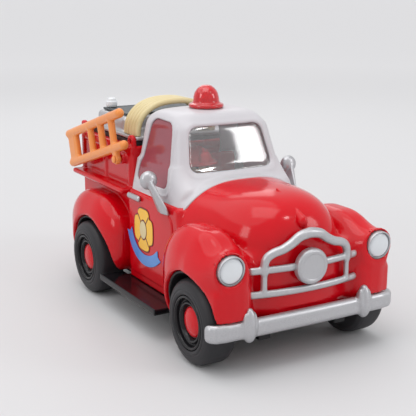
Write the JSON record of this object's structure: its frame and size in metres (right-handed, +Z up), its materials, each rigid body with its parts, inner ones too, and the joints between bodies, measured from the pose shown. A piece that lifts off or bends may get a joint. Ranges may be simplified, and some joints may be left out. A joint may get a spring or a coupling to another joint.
{
  "type": "toy fire engine",
  "caption": "Toy fire engine: round-nosed pickup body on rolling wheels, with a side ladder that lifts and a hinged hose deck over a hopper.",
  "frame": {"origin": "on the ground, under the middle of the truck", "axes": "+Z up, -Y towards the nose, +X towards the truck's left"},
  "size_m": [0.156, 0.2856, 0.1767],
  "materials": {
    "red": "gloss",
    "white": "satin",
    "silver": "silver paint",
    "black": "gloss",
    "rubber": "satin",
    "orange": "satin",
    "cream": "satin",
    "clear": "clear plastic",
    "tinted": "smoky red plastic",
    "beacon": "clear red plastic",
    "lens": "gloss",
    "skin": "satin",
    "steel": "bare"
  },
  "bodies": {
    "truck": {"chassis": "black", "axle_cover_front": "black", "axle_cover_rear": "black", "body_screw_1": "steel", "body_screw_2": "steel", "body_screw_3": "steel", "body_screw_4": "steel", "cover_screw_front": "steel", "cover_screw_rear": "steel", "cab_body": "red", "bed_body": "red", "cab_top": "white", "windshield": "clear", "rear_window": "clear", "side_window_right": "tinted", "side_window_left": "tinted", "beacon_lens": "beacon", "beacon_reflector": "silver", "front_bumper": "silver", "rear_bumper": "silver", "tail_lamp_right": "beacon", "tail_lamp_left": "beacon", "grille_frame": "silver", "grille_emblem": "silver", "headlight_bezel_right": "silver", "headlight_bezel_left": "silver", "headlight_lens_right": "lens", "headlight_lens_left": "lens", "mirror_right": "silver", "mirror_left": "silver", "door_handle_right": "silver", "door_handle_left": "silver", "hopper_tub": "black", "seat_bench": "red", "dashboard": "black", "steering_wheel": "black", "driver_body": "red", "driver_head": "skin", "driver_helmet": "red", "lid_hinge_pin": "steel", "ladder_pivot_pin": "orange"},
    "front_wheels": {"front_axle": "steel", "tyre_front_right": "rubber", "wheel_disc_front_right": "black", "hub_cap_front_right": "red", "tyre_front_left": "rubber", "wheel_disc_front_left": "black", "hub_cap_front_left": "red"},
    "rear_wheels": {"rear_axle": "steel", "tyre_rear_right": "rubber", "wheel_disc_rear_right": "black", "hub_cap_rear_right": "red", "tyre_rear_left": "rubber", "wheel_disc_rear_left": "black", "hub_cap_rear_left": "red"},
    "lid": {"bed_lid": "silver", "deck_tread": "black", "hose_coil": "cream", "hose_nozzle": "silver"},
    "ladder": {"ladder": "orange"}
  },
  "joints": [
    {"name": "front_wheels_spin", "type": "hinge", "parent": "truck", "child": "front_wheels", "pos_m": [0, -0.10148, 0.03], "axis": [1, 0, 0], "continuous": true},
    {"name": "rear_wheels_spin", "type": "hinge", "parent": "truck", "child": "rear_wheels", "pos_m": [0, 0.07452, 0.03], "axis": [1, 0, 0], "continuous": true},
    {"name": "lid_open", "type": "hinge", "parent": "truck", "child": "lid", "pos_m": [0, 0.13332, 0.1311], "axis": [-1, 0, 0], "range_deg": [0, 95]},
    {"name": "ladder_lift", "type": "hinge", "parent": "truck", "child": "ladder", "pos_m": [-0.0585, 0.04112, 0.117], "axis": [1, 0, 0], "range_deg": [0, 50]}
  ]
}
